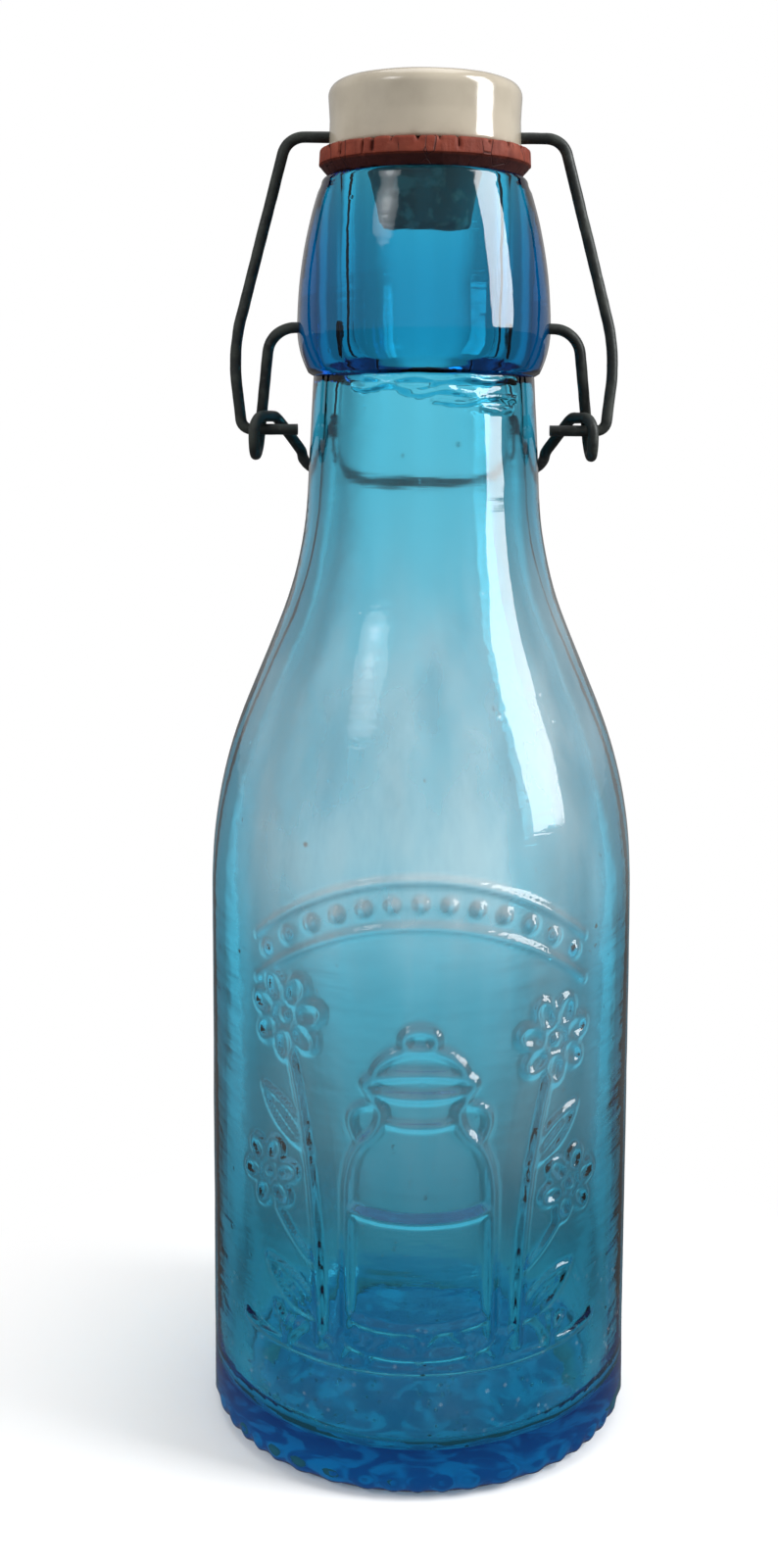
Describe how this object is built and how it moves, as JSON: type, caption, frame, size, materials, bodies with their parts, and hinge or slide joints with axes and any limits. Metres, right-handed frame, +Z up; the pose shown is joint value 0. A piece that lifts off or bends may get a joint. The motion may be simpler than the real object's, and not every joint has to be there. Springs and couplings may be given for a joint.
{
  "type": "swing top bottle",
  "caption": "Blue glass milk bottle with a thick collar at the mouth, closed by a porcelain stopper and rubber ring on a wire bail with a toggle lever behind the neck.",
  "frame": {"origin": "middle of the base ring, on the surface that the bottle stands on", "axes": "+Z up along the bottle's axis; +Y to the back, where the lever's tail lies; X along the lever's pivots"},
  "size_m": [0.0692, 0.0692, 0.2178],
  "materials": {
    "blue_glass": "gloss",
    "porcelain": "gloss",
    "red_rubber": "aged matte",
    "dark_wire": "dark patina"
  },
  "bodies": {
    "bottle": {"glass_bottle": "blue_glass"},
    "lever": {"lever_wire": "dark_wire"},
    "bail": {"bail_wire": "dark_wire"},
    "stopper": {"porcelain_stopper": "porcelain", "rubber_gasket": "red_rubber"}
  },
  "joints": [
    {"name": "lever_swing", "type": "hinge", "parent": "bottle", "child": "lever", "pos_m": [0, 0, 0.1788], "axis": [1, 0, 0], "range_deg": [0, 225]},
    {"name": "bail_swing", "type": "hinge", "parent": "lever", "child": "bail", "pos_m": [0, -0.0008, 0.1625], "axis": [1, 0, 0], "range_deg": [-158, 0]},
    {"name": "stopper_swivel", "type": "hinge", "parent": "bail", "child": "stopper", "pos_m": [0, 0, 0.20875], "axis": [1, 0, 0], "range_deg": [-68, 0]}
  ],
  "couplings": [
    {"joint": "bail_swing", "follows": "lever_swing", "ratio": -0.7},
    {"joint": "stopper_swivel", "follows": "lever_swing", "ratio": -0.3}
  ]
}
